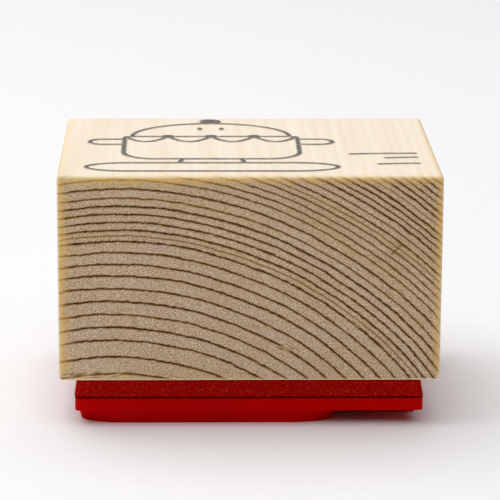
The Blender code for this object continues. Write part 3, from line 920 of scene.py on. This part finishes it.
def pine_colour(shader):
    """Bare pine: dark late wood at each ring, tan end grain, pale long grain and golden eased edges with a
    painted highlight.

    Returns the colour and a height for the bump."""
    place = shader.place()
    fine = shader.noise(place, scale=9000.0, roughness=0.8)
    wobble = shader.noise(place, scale=700.0)
    nibbled = shader.noise(place, scale=3300.0, roughness=0.6)
    ragged = shader.math("ADD", shader.math("MULTIPLY", shader.math("SUBTRACT", wobble, 0.5), 0.20),
                         shader.math("MULTIPLY", shader.math("SUBTRACT", nibbled, 0.5), 0.22))
    dark, away, width = late_wood(shader, ragged)
    core = shader.blend(shader.remap(shader.attribute("ring_dark"), 0.6, 1.15), *LATE_WOOD)
    end_colour = shader.blend(dark, early_wood(shader, fine, away, width), core)
    end_colour = end_marks(shader, end_colour)
    fibre = shader.noise(shader.place(ALONG_GRAIN), scale=1500.0, detail=3.0)
    long_colour = shader.blend(shader.remap(fibre, 0.3, 0.7), *LONG_WOOD)
    soft = shader.math("SUBTRACT", 1.0, shader.remap(away, 0.0, 0.30, smooth=True))
    long_colour = shader.blend(shader.math("MULTIPLY", soft, 0.13), long_colour, LONG_RING)
    ends = shader.remap(shader.attribute("end_grain"), 0.45, 0.95, smooth=True)
    colour = shader.blend(ends, long_colour, end_colour)
    # Golden wood on the eased edges, partly painted highlight where they catch the light
    edge = shader.math("MULTIPLY", shader.attribute("golden"), shader.remap(ends, 0.0, 1.0, 0.35, 0.92))
    colour = shader.blend(edge, colour, GOLDEN_WOOD_AND_HIGHLIGHT)
    ring_on_edge = shader.math("MULTIPLY", dark, shader.math("MULTIPLY", edge, 0.5))
    colour = shader.blend(ring_on_edge, colour, GOLDEN_RING)
    height = shader.math("ADD", shader.math("MULTIPLY", dark, 0.4), shader.math("MULTIPLY", fine, 0.5))
    return colour, height


def pine_finish():
    """Bare pine, matt."""
    shader = Shader("bare_pine")
    colour, height = pine_colour(shader)
    shader.set(Base_Color=colour, Roughness=0.75, Specular_IOR_Level=0.05,
               Normal=shader.bump(height, 0.35, 0.05 * MM))
    return shader.material


def ink_finish():
    """Grey ink soaked into the pine under it, thin at its sides and blotchy."""
    shader = Shader("soaked_grey_ink")
    wood, _ = pine_colour(shader)
    place = shader.place()
    blotch = shader.noise(place, scale=1400.0, detail=3.0)
    speck = shader.noise(place, scale=5200.0)
    cover = shader.math("ADD", shader.attribute("ink"), shader.remap(speck, 0.3, 0.7, -0.14, 0.14))
    cover = shader.remap(cover, 0.04, 0.45, smooth=True)
    cover = shader.math("MULTIPLY", cover, shader.remap(blotch, 0.25, 0.6, 0.86, 1.0))
    colour = shader.blend(cover, wood, GREY_INK)
    shader.set(Base_Color=colour, Roughness=0.62, Specular_IOR_Level=0.3,
               Normal=shader.bump(speck, 0.15, 0.03 * MM))
    return shader.material


def rubber_finish():
    """Smooth red moulded rubber with a faint dusty bloom, and painted shade along its top edge where the film
    and foam sit on it.
    """
    shader = Shader("red_moulded_rubber")
    place = shader.place()
    cloud = shader.noise(place, scale=170.0, detail=3.0)
    grain = shader.noise(place, scale=3800.0)
    colour = shader.blend(shader.remap(cloud, 0.3, 0.7), *RUBBER_RED)
    colour = shader.blend(shader.remap(grain, 0.55, 0.8, 0.0, 0.2), colour, RUBBER_BLOOM)
    # Painted shade: the top 0.17 mm of the die's wall darkens towards the film and foam over it
    joint_shade = shader.remap(shader.height(), DIE_HIGH[2] - 0.17 * MM, DIE_HIGH[2] - 0.05 * MM, 0.0, 0.75)
    colour = shader.blend(joint_shade, colour, RUBBER_JOINT_SHADE)
    rough = shader.remap(grain, 0.3, 0.7, 0.42, 0.55)
    shader.set(Base_Color=colour, Roughness=rough, Specular_IOR_Level=0.02,
               Normal=shader.bump(grain, 0.2, 0.03 * MM))
    return shader.material


def foam_finish():
    """Cut red foam: fine open cells, each with a pale rim and a dark inside, and shade along both ends of
    the cut."""
    shader = Shader("red_cut_foam")
    place = shader.place()
    rim = shader.remap(shader.cells(place, 7800.0).outputs["Distance"], 0.2, 0.8, smooth=True)
    speck = shader.noise(place, scale=6200.0)
    colour = shader.blend(rim, *FOAM_RED)
    colour = shader.blend(shader.remap(speck, 0.58, 0.74, 0.0, 0.65), colour, FOAM_SPECK)
    height = shader.height()
    # Painted shade: the foam darkens just above the die's film and just below the block's overhang
    painted_end_shade = shader.math("MAXIMUM", shader.remap(height, FOAM_LOW[2] + 0.10 * MM, FOAM_LOW[2]),
                          shader.remap(height, FOAM_HIGH[2] - 0.55 * MM, FOAM_HIGH[2] - 0.30 * MM))
    colour = shader.blend(shader.math("MULTIPLY", painted_end_shade, 0.45), colour, FOAM_SHADE)
    relief = shader.math("ADD", shader.math("MULTIPLY", rim, 0.6), shader.math("MULTIPLY", speck, 0.4))
    shader.set(Base_Color=colour, Roughness=0.9, Specular_IOR_Level=0.015,
               Normal=shader.bump(relief, 0.5, 0.06 * MM))
    return shader.material


def film_finish():
    """Double-sided film: its cut edge is dark red between the foam and the rubber, partly as painted shade of
    the joint, and a little cloudy.
    """
    shader = Shader("adhesive_film")
    cloud = shader.noise(shader.place(), scale=900.0)
    colour = shader.blend(shader.remap(cloud, 0.3, 0.7), *FILM_RED_AND_SHADE)
    rough = shader.remap(cloud, 0.3, 0.7, 0.35, 0.5)
    shader.set(Base_Color=colour, Roughness=rough, Specular_IOR_Level=0.1)
    return shader.material


def floor_finish():
    """Plain off-white card with a slight sheen."""
    shader = Shader("pale_card")
    tooth = shader.noise(shader.place(), scale=600.0)
    colour = shader.blend(shader.remap(tooth, 0.3, 0.7), *CARD)
    shader.set(Base_Color=colour, Roughness=0.5, Specular_IOR_Level=0.06)
    return shader.material


# ---------------------------------------------------------------- the stamp

pine = pine_finish()
make_block(pine)
ink = ink_finish()
make_ink("ink_pot_and_tray", "print_pot_and_tray", POT_AND_TRAY, SPOTS, ink)
for line in LOOSE_LINES:
    make_ink(f"ink_{line[0]}", f"print_{line[0]}", [line], [], ink)
make_die(rubber_finish())
make_foam(foam_finish())
film = film_finish()
for name in ("block_adhesive", "die_adhesive"):
    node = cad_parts[name]
    node.data.materials.clear()
    node.data.materials.append(film)


# ---------------------------------------------------------------- floor, light and camera

FLOOR_REACH = 6.0
LENS_MM = 200.15
SENSOR_MM = 36.0
CAMERA_PLACE = (-7.01 * MM, -294.03 * MM, 90.54 * MM)
CAMERA_PITCH_YAW_ROLL = (14.306, 1.431, 0.302)
SKY_COLOUR = (1.0, 0.99, 1.0)
SKY_STRENGTH = 0.11


def make_floor():
    """A wide plane at the printing face."""
    corners = np.array(((-1.0, -1.0, 0.0), (1.0, -1.0, 0.0), (1.0, 1.0, 0.0), (-1.0, 1.0, 0.0))) * FLOOR_REACH
    floor = put_mesh("floor", corners, [(0, 1, 2, 3)], smooth=False)
    floor.data.materials.append(floor_finish())


def make_softbox(name, place, aim, size, watts):
    """A square area light that faces a point."""
    light = bpy.data.lights.new(name, "AREA")
    light.shape = "SQUARE"
    light.size = size
    light.energy = watts
    lamp = bpy.data.objects.new(name, light)
    bpy.context.scene.collection.objects.link(lamp)
    lamp.location = place
    lamp.rotation_euler = (Vector(aim) - Vector(place)).to_track_quat("-Z", "Y").to_euler()


def make_sky():
    """Even white light from all round."""
    world = bpy.data.worlds.new("studio")
    world.use_nodes = True
    background = world.node_tree.nodes["Background"]
    background.inputs["Color"].default_value = (*SKY_COLOUR, 1.0)
    background.inputs["Strength"].default_value = SKY_STRENGTH
    bpy.context.scene.world = world


def make_camera():
    """A long lens a little left of the block, looking slightly down."""
    camera = bpy.data.objects.new("camera", bpy.data.cameras.new("camera"))
    bpy.context.scene.collection.objects.link(camera)
    camera.data.lens = LENS_MM
    camera.data.sensor_width = SENSOR_MM
    camera.data.clip_start = 0.01
    camera.data.clip_end = 50.0
    pitch, yaw, roll = (math.radians(angle) for angle in CAMERA_PITCH_YAW_ROLL)
    turn = (Matrix.Rotation(-yaw, 4, "Z") @ Matrix.Rotation(math.pi / 2.0 - pitch, 4, "X")
            @ Matrix.Rotation(roll, 4, "Z"))
    camera.matrix_world = Matrix.Translation(CAMERA_PLACE) @ turn
    bpy.context.scene.camera = camera


make_floor()
make_softbox("key", place=(-0.20, 0.10, 0.55), aim=(0.0, 0.03, 0.0), size=0.70, watts=2.7)
make_softbox("ceiling", place=(0.0, 0.0, 1.30), aim=(0.0, 0.0, 0.0), size=3.20, watts=24.8)
make_sky()
make_camera()
bpy.context.scene.view_settings.view_transform = "Standard"
